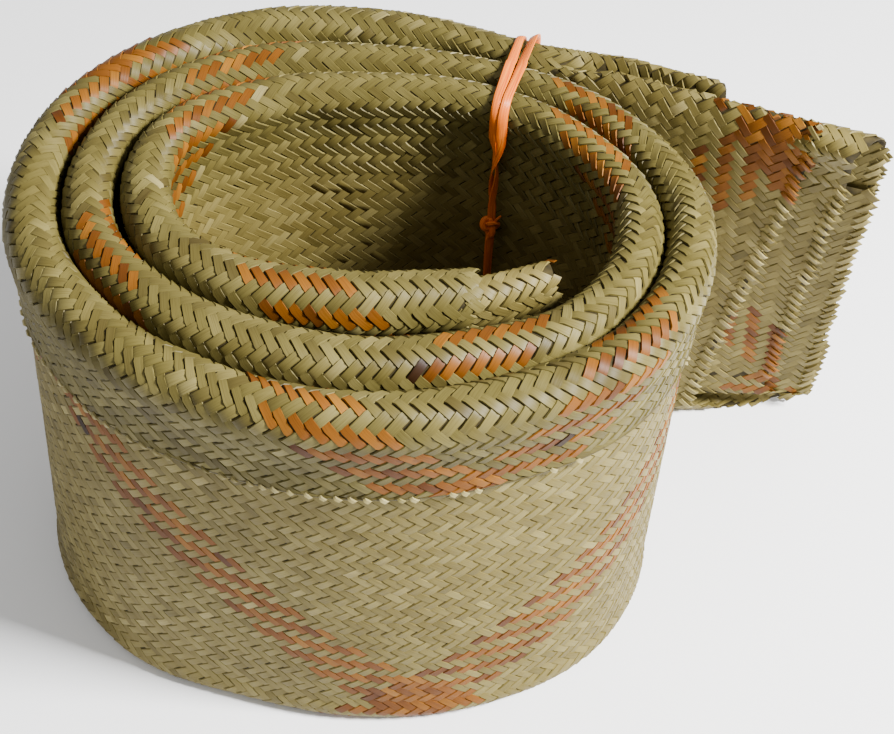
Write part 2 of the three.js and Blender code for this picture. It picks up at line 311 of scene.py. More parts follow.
def drift(turn, fold):
    """How far the weave lies off the fold at a place: along the band, and across it."""
    lengthwise = np.interp(turn, DRIFT[:, 0], DRIFT[:, 1])
    crosswise = np.interp(turn, DRIFT[:, 0], DRIFT[:, 2])
    slipped = np.interp(turn, FLAP_SLIP_TURNS, (0, 1, 1, 0)) * np.interp(fold, FLAP_SLIP_FOLD, (1, 0))
    return lengthwise, crosswise + FLAP_SLIP * slipped


def to_weave(turn, fold):
    """Where a place on the fold lies in the flat weave: along the mat, and across it."""
    lengthwise, crosswise = drift(turn, fold)
    return np.interp(turn, rim_turns, rim_length) - SLIP * fold + lengthwise, fold + crosswise


def from_weave(a, b):
    """The turn and the distance along the fold of a place in the flat weave, closed in on."""
    turn, fold = np.interp(a, rim_length, rim_turns), b
    for _ in range(CLOSING_ROUNDS):
        lengthwise, crosswise = drift(turn, fold)
        fold = b - crosswise
        turn = np.interp(a + SLIP * fold - lengthwise, rim_length, rim_turns)
    return turn, fold


def spot(turn, b, lift):
    """Places in metres, at a turn and a distance from the hem, lifted off the cloth's middle."""
    row = (turn - GRID_TURNS[0]) / (GRID_TURNS[1] - GRID_TURNS[0])
    column = b / (GRID_FOLD[1] - GRID_FOLD[0])
    i = np.clip(row.astype(int), 0, len(GRID_TURNS) - 2)
    j = np.clip(column.astype(int), 0, len(GRID_FOLD) - 2)
    s = (row - i)[..., None]
    t = (column - j)[..., None]

    def read(grid):
        near = grid[i, j] * (1 - s) + grid[i + 1, j] * s
        far = grid[i, j + 1] * (1 - s) + grid[i + 1, j + 1] * s
        return near * (1 - t) + far * t

    points = read(grid_places) + read(grid_facing) * lift[..., None]
    points[..., 2] = np.maximum(points[..., 2], 0)
    return points * MM


print("foot of the outer wall at turn 780:", spot(np.array([780.0]), np.array([309.0]), np.zeros(1)))

# %% [markdown]
# Colours are written as sRGB hex, as a colour picker gives them, and shaders need them linear. One
# small function adds a node with its settings and its links, so each material reads as a recipe.

# %% Helpers for materials
def colour(code):
    parts = [int(code[k:k + 2], 16) / 255 for k in (1, 3, 5)]
    return [c / 12.92 if c <= 0.04045 else ((c + 0.055) / 1.055) ** 2.4 for c in parts] + [1.0]


def new_material(name):
    material = bpy.data.materials.new(name)
    material.use_nodes = True
    tree = material.node_tree
    return material, tree, tree.nodes["Principled BSDF"]


def add(tree, kind, inputs=None, **settings):
    """A node of a kind, with settings, and for each input a value or the socket it reads."""
    node = tree.nodes.new("ShaderNode" + kind)
    for name, value in settings.items():
        setattr(node, name, value)
    for socket, value in (inputs or {}).items():
        if isinstance(value, bpy.types.NodeSocket):
            tree.links.new(value, node.inputs[socket])
        else:
            node.inputs[socket].default_value = value
    return node


def ramp(tree, factor, stops):
    node = add(tree, "ValToRGB", {"Fac": factor})
    elements = node.color_ramp.elements
    while len(elements) < len(stops):
        elements.new(0.5)
    for element, (position, code) in zip(elements, stops):
        element.position = position
        element.color = colour(code)
    return node.outputs["Color"]


# the colour sockets of the Mix node, which share their names with its other sockets
MIX_A, MIX_B, MIX_RESULT = 6, 7, 2


def blend_colours(tree, factor, first, second, how="MIX"):
    node = add(tree, "Mix", {0: factor, MIX_A: first, MIX_B: second}, data_type="RGBA",
               blend_type=how)
    return node.outputs[MIX_RESULT]


print("white is", colour("#ffffff"))

# %% [markdown]
# Split bamboo, scraped and left undyed, is a satin khaki that yellows where it is handled, so the
# rims are more olive than the walls, and hands have polished them. Fibres run along each strip. The
# dyed strips took an orange-brown stain, a few of them nearly black. Each strip carries its own
# numbers, for dye, tone and yellowing, and its UV map runs along it in metres, so the fibres
# follow it.

# %% Split bamboo, scraped, plain and dyed
def split_bamboo(name, gloss, roughness):
    material, tree, shader = new_material(name)
    uv = add(tree, "UVMap", uv_map="strip").outputs["UV"]
    dye = add(tree, "Attribute", attribute_name="dye").outputs["Fac"]
    tone = add(tree, "Attribute", attribute_name="tone").outputs["Fac"]
    olive = add(tree, "Attribute", attribute_name="olive").outputs["Fac"]
    # fibre bundles about 0.35 mm wide and 14 mm long
    fibres = add(tree, "Mapping", {"Vector": uv, "Scale": (70, 2800, 1)})
    fibre = add(tree, "TexNoise", {"Vector": fibres.outputs["Vector"], "Scale": 1.0,
                                   "Detail": 3.0, "Roughness": 0.6}).outputs["Fac"]
    # slow change of colour along a culm, about 40 mm
    patches = add(tree, "Mapping", {"Vector": uv, "Scale": (24, 60, 1)})
    patch = add(tree, "TexNoise", {"Vector": patches.outputs["Vector"], "Scale": 1.0,
                                   "Detail": 2.0}).outputs["Fac"]
    grey = ramp(tree, tone, [(0.0, "#4e4520"), (0.45, "#685d31"), (0.8, "#7b7042"), (1.0, "#988c5c")])
    yellow = ramp(tree, tone, [(0.0, "#3f361a"), (0.45, "#585028"), (0.8, "#6c6338"), (1.0, "#8d8358")])
    plain = blend_colours(tree, olive, grey, yellow)
    stain = ramp(tree, dye, [(0.0, "#865a1c"), (0.5, "#6b3f0e"), (0.8, "#4c2909"), (1.0, "#2a190b")])
    dyed = add(tree, "Math", {0: dye, 1: 0.01}, operation="GREATER_THAN").outputs["Value"]
    base = blend_colours(tree, dyed, plain, stain)
    streaks = ramp(tree, fibre, [(0.3, "#c4bca8"), (0.55, "#ffffff")])
    streaked = blend_colours(tree, 0.65, base, streaks, "MULTIPLY")
    clouds = ramp(tree, patch, [(0.35, "#cfc8b4"), (0.6, "#ffffff")])
    clouded = blend_colours(tree, 0.5, streaked, clouds, "MULTIPLY")
    bump = add(tree, "Bump", {"Height": fibre, "Strength": 0.35, "Distance": 0.0002})
    tree.links.new(clouded, shader.inputs["Base Color"])
    tree.links.new(bump.outputs["Normal"], shader.inputs["Normal"])
    shader.inputs["Roughness"].default_value = roughness
    shader.inputs["IOR"].default_value = 1.5
    shader.inputs["Specular IOR Level"].default_value = gloss
    return material


bamboo = split_bamboo("split_bamboo_polished", 0.12, 0.45)
matt_bamboo = split_bamboo("split_bamboo_scraped", 0.09, 0.5)

# %% [markdown]
# Under the strips that show lies the body of the cloth: the strips that pass below, seen only in
# the slits between. It is coloured near black as painted shade, for the shadow in the slits, and
# where no strips are laid on it, deep between the turns, it still has the plait as a bump.

# %% The body of the plait, in shadow
STRIP = 4.0


def plait_body_painted_shade():
    material, tree, shader = new_material("plait_body_painted_shade")
    uv = add(tree, "UVMap", uv_map="cloth").outputs["UV"]
    turned = add(tree, "Mapping", {"Vector": uv, "Rotation": (0, 0, math.radians(45))})
    weave = add(tree, "TexChecker", {"Vector": turned.outputs["Vector"],
                                     "Scale": 0.5 / (STRIP * MM)})
    fine = add(tree, "TexNoise", {"Vector": uv, "Scale": 300.0, "Detail": 4.0}).outputs["Fac"]
    # Painted shade: these near-black tints stand in for the shadow that the slats cast into the slits.
    tint = ramp(tree, fine, [(0.3, "#1e190a"), (0.7, "#352d14")])
    bump = add(tree, "Bump", {"Height": weave.outputs["Fac"], "Strength": 0.6, "Distance": 0.0005})
    tree.links.new(tint, shader.inputs["Base Color"])
    tree.links.new(bump.outputs["Normal"], shader.inputs["Normal"])
    shader.inputs["Roughness"].default_value = 0.8
    shader.inputs["Specular IOR Level"].default_value = 0.15
    return material


plait = plait_body_painted_shade()

# %% [markdown]
# The sheet is one grid of faces. Its vertices are moved from the flat to the fold, closer together
# where the cloth bends, and Solidify gives it its thickness. A simulation could fold cloth too, but
# stiff bamboo keeps the fold that it was pressed into, so the shape is set from the given sizes.

# %% The folded sheet
SHEET_THICK = 0.6
BEND_STEP = 3.0
WALL_STEP = 14.0
WALL_LEAST = 60
STATIONS = 250
# Shares of the stations at the inner end, round the roll and on the tail, and where the tail starts.
START_SHARE, ROLL_SHARE, TAIL_SHARE = 0.05, 0.87, 0.08
TAIL_FROM = 0.92
START_TURN = 48


def fold_rows():
    """Distances from the hem at which the sheet has vertices: fine in the bends."""
    rows = []
    for low, high in zip(FOLD[:-1], FOLD[1:]):
        step = WALL_STEP if high - low > WALL_LEAST else BEND_STEP
        rows.extend(np.linspace(low, high, max(1, round((high - low) / step)), endpoint=False))
    return np.array(rows + [FOLD[-1]])


def cut_end(b, which):
    return np.interp(b, FOLD, CUTS[:, which])


def sheet_turn(share, b):
    """Turn of a vertex, from the cloth's first cut end to its last."""
    first, last = cut_end(b, 0), cut_end(b, 1)
    early = first + (START_TURN - first) * share / START_SHARE
    middle = START_TURN + (LEAVE_TURN - START_TURN) * (share - START_SHARE) / ROLL_SHARE
    late = LEAVE_TURN + (last - LEAVE_TURN) * (share - TAIL_FROM) / TAIL_SHARE
    return np.where(share < START_SHARE, early, np.where(share < TAIL_FROM, middle, late))


def new_piece(name, mesh, material):
    mesh.name = name
    piece = bpy.data.objects.new(name, mesh)
    bpy.context.scene.collection.objects.link(piece)
    mesh.materials.append(material)
    return piece


def set_points(mesh, points):
    mesh.vertices.foreach_set("co", np.asarray(points, np.float32).ravel())
    mesh.update()


def get_points(mesh):
    points = np.empty(len(mesh.vertices) * 3, np.float32)
    mesh.vertices.foreach_get("co", points)
    return points.reshape(-1, 3).astype(float)


def set_uv(mesh, name, values):
    """Writes a UV map from one pair for each vertex."""
    corners = np.empty(len(mesh.loops), np.int32)
    mesh.loops.foreach_get("vertex_index", corners)
    layer = mesh.uv_layers.new(name=name)
    layer.data.foreach_set("uv", values[corners].astype(np.float32).ravel())


def grid_mesh(columns, rows):
    """A flat grid of faces over the unit square."""
    shape = bmesh.new()
    bmesh.ops.create_grid(shape, x_segments=columns, y_segments=rows, size=0.5)
    bmesh.ops.translate(shape, vec=(0.5, 0.5, 0), verts=shape.verts)
    mesh = bpy.data.meshes.new("grid")
    shape.to_mesh(mesh)
    shape.free()
    return mesh


def make_sheet():
    rows = fold_rows()
    mesh = grid_mesh(STATIONS, len(rows) - 1)
    flat = get_points(mesh)
    b = np.interp(flat[:, 1], np.linspace(0, 1, len(rows)), rows)
    turn = sheet_turn(flat[:, 0], b)
    set_points(mesh, spot(turn, b, np.zeros(len(b))))
    set_uv(mesh, "cloth", np.stack(to_weave(turn, b), 1) * MM)
    mesh.flip_normals()
    mesh.shade_smooth()
    piece = new_piece("mat_sheet", mesh, plait)
    solid = piece.modifiers.new("thickness", "SOLIDIFY")
    solid.thickness = SHEET_THICK * MM
    solid.offset = 0
    return piece


mat_sheet = make_sheet()
print("faces of the sheet:", len(mat_sheet.data.polygons))

# %% [markdown]
# The plait is a twill: each strip goes over two and under two, at 45 degrees to the mat's length,
# and each row of crossings is one strip further on, which gives the rows of slanting strips. p runs
# along one family of strips and q along the other. What shows of a strip is its length on top, one
# small bowed slat. One slat is shaped from a cube with bmesh, and numpy copies it thousands of
# times into one mesh, which is much faster than thousands of objects.

# %% One slat
# The top is narrower than the base, and the middle length is stretched.
SLAT_TOP_WIDTH = 0.86
SLAT_MIDDLE = 0.4
SLAT_STRETCH = 1.75


def slat_form():
    """A slat one unit long, wide and high: three lengths, a flat top and bevelled edges."""
    shape = bmesh.new()
    bmesh.ops.create_cube(shape, size=1.0)
    lengthwise = [e for e in shape.edges if abs(e.verts[0].co.x - e.verts[1].co.x) > 0.5]
    bmesh.ops.subdivide_edges(shape, edges=lengthwise, cuts=2, use_grid_fill=True)
    for vertex in shape.verts:
        if vertex.co.z > 0:
            vertex.co.y *= SLAT_TOP_WIDTH
        if abs(vertex.co.x) < SLAT_MIDDLE:
            vertex.co.x *= SLAT_STRETCH
    shape.verts.index_update()
    points = np.array([v.co[:] for v in shape.verts])
    faces = [[v.index for v in f.verts] for f in shape.faces]
    shape.free()
    return points, faces


SLAT_POINTS, SLAT_FACES = slat_form()
print("points and faces of a slat:", len(SLAT_POINTS), len(SLAT_FACES))

# %% [markdown]
# The dyed stripes are eight strips wide and come back every 55 strips in both families, so they
# cross in a lattice of diamonds. Where only one family is dyed, every second row of the twill is
# orange. One crossing is known from where it lies on the hem, and it sets the phase.

# %% The lanes of the weave, and their dye
REPEAT = 55
STRIPE = 8
HEM_CROSSING_TURN = 754.5
ROOT_TWO = math.sqrt(2)
rng = np.random.default_rng(7)
LANES = 1200
SEARCH_STEP = 5.0
SEARCH_MARGIN = 4
SEARCH_BAND = 20
lane_tone = np.clip(rng.normal(0.5, 0.11, (2, LANES)), 0.05, 0.95)
lane_stain = np.clip(rng.normal(0.5, 0.1, (2, LANES)), 0.25, 0.75)
crossing = np.interp(HEM_CROSSING_TURN, rim_turns, rim_length) / ROOT_TWO / STRIP


def flat_place(p, q):
    """Place in the flat weave, in mm, of a point given in strips along the two families."""
    return (p + q) / ROOT_TWO * STRIP, (p - q) / ROOT_TWO * STRIP


def strip_place(a, b):
    return (a + b) / ROOT_TWO / STRIP, (a - b) / ROOT_TWO / STRIP


def dyed_lane(lane):
    """Whether a strip is one of the dyed ones."""
    return np.abs((lane + 0.5 - crossing + REPEAT / 2) % REPEAT - REPEAT / 2) < STRIPE / 2


def slat_centres(fold_range, turn_range, side, turned=False):
    """p and q of every slat that shows on one side of a region of the cloth, and its family.
    Where the twill is turned, its rows run across the mat."""
    turns, fold = np.meshgrid(np.arange(*turn_range, SEARCH_STEP), np.linspace(*fold_range, 5))
    a, b = to_weave(turns, fold)
    lanes = [np.arange(int(place.min()) - SEARCH_MARGIN, int(place.max()) + SEARCH_MARGIN + 1)
             for place in strip_place(a, b)]
    i, j = np.meshgrid(*lanes, indexing="ij")
    i, j = i.ravel(), j.ravel()
    near = np.abs((i - j) * STRIP / ROOT_TWO - b.mean()) < np.ptp(b) / 2 + SEARCH_BAND
    i, j = i[near], j[near]
    phase = (i + j) % 4 if turned else (i - j) % 4
    first = phase == (0 if side > 0 else 2)
    second = (phase + 2 if turned else phase + 1) % 4 == (0 if side > 0 else 2)
    p = np.concatenate([i[first] + 1.0, i[second] + 0.5])
    q = np.concatenate([j[first] + 0.5, j[second] + 1.0])
    family = np.concatenate([np.zeros(first.sum(), int), np.ones(second.sum(), int)])
    turn, fold = from_weave(*flat_place(p, q))
    keep = (fold > fold_range[0]) & (fold < fold_range[1])
    keep &= (turn > np.maximum(cut_end(fold, 0), turn_range[0]))
    keep &= (turn < np.minimum(cut_end(fold, 1), turn_range[1]))
    return p[keep], q[keep], family[keep]


print("dyed lanes of 55:", int(dyed_lane(np.arange(REPEAT)).sum()))

# %% [markdown]
# Hand-split strips are never alike, so each slat gets a little of its own length, width, angle,
# height and tone. The random numbers are seeded, which gives the same mat at every run.

# %% Slats on the cloth
TUCK = 0.5
# How unlike the slats are: length, width and place in strips, and angle as a slope.
LENGTH_SPREAD = 0.05
WIDTH_SPREAD = 0.025
SHIFT_SPREAD = 0.03
SWING_SPREAD = 0.015
# A slat's least height and the range of its crown, in mm, and its ends and underside against them.
LEAST_HEIGHT = 0.2
CROWN_RANGE = (0.65, 0.9)
END_SHARE = 0.2
UNDER_SHARE = 0.55
UNDER_DROP = 0.25
LEAN = 0.5
LEAN_SPREAD = 0.12
TONE_SPREAD = 0.08
STAIN_SPREAD = 0.12
STAIN_RANGE = (0.05, 0.8)
BLACK_SHARE = 0.005
SHARP_ANGLE = 50
# The second family reads its fibres this many mm away, so strips that cross never have the same.
FIBRES_APART = 500
HEM_LINE = 0.4
HEM_SQUEEZE = 0.05
OLIVE_FROM, OLIVE_TO = 85, 120
PALE_TAIL_FROM, PALE_TAIL_TO = 996, 1010
PALE_TAIL_OLIVE = 0.25


def lay_slats(name, p, q, family, side, lift=0.0, length=2.0, dye=None, bright=0.0,
              width=0.97, relief=1.0, material=bamboo, hemmed=False):
    """Joins one slat for each centre into a mesh that lies on one side of the cloth.
    Where they are hemmed, what would stand past the hem is drawn in to its line."""
    count = len(p)
    x, y, z = (SLAT_POINTS[:, k][None] for k in range(3))
    in_middle = np.abs(x) <= SLAT_MIDDLE
    long = (length + rng.normal(0, LENGTH_SPREAD, count) + TUCK)[:, None] * STRIP
    wide = (width + rng.normal(0, WIDTH_SPREAD, count))[:, None] * STRIP
    swing = rng.normal(0, SWING_SPREAD, count)[:, None]
    shift = rng.normal(0, SHIFT_SPREAD, (2, count))[:, :, None] * STRIP
    run = x * long + shift[0]
    off = y * wide + swing * run + shift[1]
    middle_p, middle_q = p[:, None] * STRIP, q[:, None] * STRIP
    is_first = (family == 0)[:, None]
    flat_p = middle_p + np.where(is_first, run, off)
    flat_q = middle_q + np.where(is_first, off, run)
    a = (flat_p + flat_q) / ROOT_TWO
    b = (flat_p - flat_q) / ROOT_TWO
    height = (LEAST_HEIGHT + relief * rng.uniform(*CROWN_RANGE, count))[:, None]
    crown = np.where(in_middle, 1.0, END_SHARE) * height
    lean = (relief * (LEAN + rng.normal(0, LEAN_SPREAD, count)))[:, None]
    surface = np.where(z > 0, crown, crown * UNDER_SHARE - UNDER_DROP)
    raised = surface + lean * y * in_middle + lift
    turn, fold = from_weave(a, b)
    if hemmed:
        fold = np.where(fold < HEM_LINE, HEM_LINE + HEM_SQUEEZE * (fold - HEM_LINE), fold)
    points = spot(turn, fold, raised * side).reshape(-1, 3)
    faces = np.array(SLAT_FACES)
    every = (faces[None] + len(SLAT_POINTS) * np.arange(count)[:, None, None]).reshape(-1, 4)
    mesh = bpy.data.meshes.new(name)
    mesh.from_pydata(points, [], every[:, ::-1] if side < 0 else every)
    lane = np.where(family == 0, np.floor(q), np.floor(p)).astype(int)
    tone = lane_tone[family, lane % LANES] + rng.normal(0, TONE_SPREAD, count) + bright
    stained = dyed_lane(lane) if dye is None else dye
    stain = lane_stain[family, lane % LANES] + rng.normal(0, STAIN_SPREAD, count)
    black = rng.random(count) < BLACK_SHARE
    dye_value = np.where(stained, np.where(black, 1.0, np.clip(stain, *STAIN_RANGE)), 0.0)
    middle_turn, middle_fold = from_weave(*flat_place(p, q))
    olive = np.interp(middle_fold, (OLIVE_FROM, OLIVE_TO), (1, 0))
    olive = olive * np.interp(middle_turn, (PALE_TAIL_FROM, PALE_TAIL_TO), (1, PALE_TAIL_OLIVE))
    for attribute, values in (("dye", dye_value), ("tone", tone), ("olive", olive)):
        layer = mesh.attributes.new(attribute, "FLOAT", "POINT")
        spread = np.repeat(values, len(SLAT_POINTS)).astype(np.float32)
        layer.data.foreach_set("value", spread)
    uv = np.where(is_first[..., None], np.stack([flat_p, flat_q], -1),
                  np.stack([flat_q + FIBRES_APART, flat_p], -1))
    set_uv(mesh, "strip", uv.reshape(-1, 2) * MM)
    mesh.shade_smooth()
    mesh.set_sharp_from_angle(angle=math.radians(SHARP_ANGLE))
    print(name, "slats:", count)
    return new_piece(name, mesh, material)


def weave(name, fold_range, turn_range, side=1, turned=False, **finish):
    """The slats of one region of the cloth, inside its cut ends."""
    return lay_slats(name, *slat_centres(fold_range, turn_range, side, turned), side, **finish)


# %% [markdown]
# Only what can be seen is laid: the rims and the upper walls of every turn, the flap and the outer
# wall of the last turn, the walls of the hollow, and the stepped layers at the two cut ends. Bent
# over a rim the strips stand open, and on the walls they lie close and flat. On the tail the rows of
# the twill run across the band, so it is turned there, and the dyed strips keep their places.

# %% The weave, region by region
INNER_RIM_FOLD = (20.0, 112.0)
RIM_FOLD = (40.0, 112.0)
FLAP_FOLD = (-2.2, 40.0)
FLAP_START_FOLD = (2.2, 20.0)
INNER_WALL_FOLD = (112.0, 282.0)
FOOT_FOLD = (282.0, 291.0)
OUTER_WALL_FOLD = (291.0, 508.0)
CORE_FOLD = (508.0, 560.0)
THIRD_FOLD = (560.0, 716.0)
INNER_FOOT_FOLD = (716.0, 735.0)
FOURTH_FOLD = (735.0, mat_width - 1)
OUTER_TOP_FOLD = (420.0, 508.0)
OUTER_BACK_FOLD = (282.0, 508.0)
ROLL_START, ROLL_END = -22, 1067
PINCH_END = 1002
LIP_FOLD = (40.0, 58.0)
CREST_FOLD = (61.0, 72.0)
TAIL_WALL_FOLD = (72.0, 282.0)
OPEN = {"width": 0.93, "relief": 1.1, "lift": 0.1}
CLOSE = {"width": 0.97, "relief": 0.55, "lift": 0.3, "material": matt_bamboo}
FLAP = {"width": 0.95, "relief": 0.8, "lift": 0.2, "material": matt_bamboo, "hemmed": True}
CALM = {"width": 0.97, "relief": 0.25, "lift": 0.3, "material": matt_bamboo}
woven = [
    weave("weave_rim_inner", INNER_RIM_FOLD, (ROLL_START, 600), **OPEN),
    weave("weave_rim_outer", RIM_FOLD, (600, PINCH_END), **OPEN),
    weave("weave_rim_tail", LIP_FOLD, (PINCH_END, ROLL_END), length=1.4, dye=False, **OPEN),
    weave("weave_crest_tail", CREST_FOLD, (PINCH_END, ROLL_END), turned=True, length=1.2, **OPEN),
    weave("weave_flap", FLAP_FOLD, (600, ROLL_END), **FLAP),
    weave("weave_flap_inner", FLAP_START_FOLD, (ROLL_START, 60), **OPEN),
    weave("weave_hollow", INNER_WALL_FOLD, (ROLL_START, 400), **CALM),
    weave("weave_inner_end", INNER_WALL_FOLD, (975, PINCH_END), **CLOSE),
    weave("weave_inner_tail", TAIL_WALL_FOLD, (PINCH_END, ROLL_END), turned=True, **CLOSE),
    weave("weave_foot_tail", FOOT_FOLD, (985, ROLL_END), **CLOSE),
    weave("weave_outer_wall", OUTER_WALL_FOLD, (620, ROLL_END), **CLOSE),
    weave("weave_outer_start", OUTER_TOP_FOLD, (ROLL_START, 30), **OPEN),
    weave("weave_core_start", CORE_FOLD, (ROLL_START, 30), **OPEN),
    weave("weave_third_start", THIRD_FOLD, (ROLL_START, 14), **CLOSE),
    weave("weave_fourth_start", FOURTH_FOLD, (ROLL_START, 8), -1, **CLOSE),
    weave("weave_core_tail", CORE_FOLD, (1020, ROLL_END), **OPEN),
    weave("weave_third_tail", THIRD_FOLD, (1010, ROLL_END), turned=True, **CLOSE),
    weave("weave_inner_foot_tail", INNER_FOOT_FOLD, (1010, ROLL_END), **CLOSE),
    weave("weave_fourth_tail", FOURTH_FOLD, (1018, ROLL_END), -1, turned=True, **CLOSE),
    weave("weave_outer_tail_back", OUTER_BACK_FOLD, (1005, ROLL_END), -1, turned=True, **CLOSE),
]
print("woven pieces:", len(woven))

# %% [markdown]
# The hem is the edge of the plait: the strips are turned back on themselves and caught down, which
# leaves a thin lip. It is given a dark tone, painted shade for the shadow line under the hem. Short
# pale bends of strip stand on it, one at nearly every crossing along the left of the front, and few
# elsewhere.

# %% A ribbon along a path
def ribbon(name, centres, across, facing, width, thick, material, around=8):
    """A closed flat tube along centres. Width and thickness may change along it."""
    count = len(centres)
    mesh = grid_mesh(count - 1, around)
    flat = get_points(mesh)
    station = np.rint(flat[:, 0] * (count - 1)).astype(int)
    angle = flat[:, 1] * 2 * math.pi
    half_width = (np.broadcast_to(width, count) / 2)[station] * np.cos(angle)
    half_thick = (np.broadcast_to(thick, count) / 2)[station] * np.sin(angle)
    points = (centres[station] + across[station] * half_width[:, None]
              + facing[station] * half_thick[:, None])
    points[:, 2] = np.maximum(points[:, 2], 0)
    set_points(mesh, points)
    lengths = np.concatenate([[0], np.cumsum(np.linalg.norm(np.diff(centres, axis=0), axis=1))])
    set_uv(mesh, "strip", np.stack([lengths[station], half_width], 1))
    shape = bmesh.new()
    shape.from_mesh(mesh)
    bmesh.ops.remove_doubles(shape, verts=shape.verts, dist=1e-7)
    bmesh.ops.holes_fill(shape, edges=[e for e in shape.edges if e.is_boundary])
    bmesh.ops.recalc_face_normals(shape, faces=shape.faces)
    shape.to_mesh(mesh)
    shape.free()
    mesh.shade_smooth()
    return new_piece(name, mesh, material)


def constant_attributes(piece, **values):
    for name, value in values.items():
        layer = piece.data.attributes.new(name, "FLOAT", "POINT")
        layer.data.foreach_set("value", np.full(len(piece.data.vertices), value, np.float32))


# %% The hem lip and its turned strips
HEM_WIDTH = 1.9
HEM_THICK = 1.7
HEM_MIDDLE = -0.2
HEM_LIFT = 0.25
HEM_TURN_STEP = 1.5
STITCH_STEP = STRIP * ROOT_TWO
# Nearly every bend shows along the left of the front, and few elsewhere.
BENDS_SHOW_TURNS = (748, 768, 895, 910)
BENDS_SHOW = (0.12, 0.9, 0.9, 0.12)
BENDS_SPREAD = 0.9
BENDS_ACROSS = (-0.7, 0.2)


def hem_lip_painted_shade():
    turns = np.arange(*CUT["hem"], HEM_TURN_STEP)
    lift = np.full(len(turns), HEM_LIFT)
    middle = np.full(len(turns), HEM_MIDDLE)
    centres = spot(turns, middle, lift)
    inner = spot(turns, middle + 1, lift)
    lifted = spot(turns, middle, lift + 1)
    across = inner - centres
    across /= np.linalg.norm(across, axis=1, keepdims=True)
    facing = lifted - centres
    facing /= np.linalg.norm(facing, axis=1, keepdims=True)
    wobble = rng.uniform(0.85, 1.15, len(turns))
    piece = ribbon("hem_lip_painted_shade", centres, across, facing, HEM_WIDTH * MM * wobble, HEM_THICK * MM,
                   bamboo)
    # tone 0.12 paints the lip dark, as shade for the shadow line under the hem.
    constant_attributes(piece, dye=0.0, tone=0.12, olive=1.0)
    return piece


def hem_bends():
    lengths = np.interp((CUT["hem"][0] + 1, CUT["hem"][1] - 1), rim_turns, rim_length)
    at = np.arange(*lengths, STITCH_STEP)
    at = at + rng.normal(0, BENDS_SPREAD, len(at))
    turns = np.interp(at, rim_length, rim_turns)
    turns = turns[rng.random(len(at)) < np.interp(turns, BENDS_SHOW_TURNS, BENDS_SHOW)]
    p, q = strip_place(*to_weave(turns, rng.uniform(*BENDS_ACROSS, len(turns))))
    return lay_slats("hem_bends", p, q, np.zeros(len(turns), int), 1, lift=1.0, length=0.3,
                     dye=False, bright=0.6, width=0.35)


hem_pieces = [hem_lip_painted_shade(), hem_bends()]

# %% [markdown]
# At the inner end and on the tail's flap the strips were only sheared off, so their ends stand out
# past the cloth by some millimetres, bend away from it and spread. The other layers of the tail end
# in rows of parallel strip ends, lightened as a painted highlight for the light from the right, with
# dark notches between them where the plait body's painted shade shows.

# %% Frayed ends and cut edges
AT_START, AT_TAIL = 0, 1
FRAYED_REACH = ((-2.0, 1.8), (-2.4, 0.4))
FRAYED_SPREAD = 0.8
EDGE_SPREAD = 0.5
EDGE_INSET = (1.0, 2.2)


def frayed(name, which, fold_low, fold_high):
    fold = np.arange(fold_low, fold_high, STITCH_STEP / 2)
    fold = fold + rng.normal(0, FRAYED_SPREAD, len(fold))
    a, b = to_weave(cut_end(fold, which), fold)
    a = a + (1 if which else -1) * rng.uniform(*FRAYED_REACH[which], len(a))
    family = rng.integers(0, 2, len(a))
    return lay_slats(name, *strip_place(a, b), family, 1, lift=0.3, length=1.3, bright=0.15,
                     relief=0.6)


def cut_edge(name, fold_low, fold_high, side=1):
    """The sheared end of one layer of the tail: parallel strip ends, lightened as a painted highlight,
    with dark notches between where the plait body's painted shade shows.
    """
    fold = np.arange(fold_low, fold_high, STITCH_STEP)
    fold = fold + rng.normal(0, EDGE_SPREAD, len(fold))
    a, b = to_weave(cut_end(fold, AT_TAIL), fold)
    a = a - rng.uniform(*EDGE_INSET, len(a))
    family = np.zeros(len(a), int)
    # bright=0.3 is a painted highlight for the light from the right falling on the strip ends.
    return lay_slats(name, *strip_place(a, b), family, side, lift=1.0, length=1.5, bright=0.3,
                     width=0.62)


frayed_pieces = [
    frayed("frayed_start_rim", AT_START, 2, 112),
    frayed("frayed_start_walls", AT_START, 112, 280),
    frayed("frayed_start_outer", AT_START, 290, 505),
    frayed("frayed_tail_flap", AT_TAIL, 2, 38),
    cut_edge("cut_edge_inner", 68, 280),
    cut_edge("cut_edge_outer", 300, 505, -1),
    cut_edge("cut_edge_third", 560, 715),
    cut_edge("cut_edge_fourth", 737, 905, -1),
]

# %% [markdown]
# Raffia twine is a flat tape of stretched plastic fibre, bright orange and a little translucent. It
# goes twice round the three turns at the back of the roll. Two flat strands lie side by side over
# the rims, twist together where they go down into the hollow, and end there in a small knot.

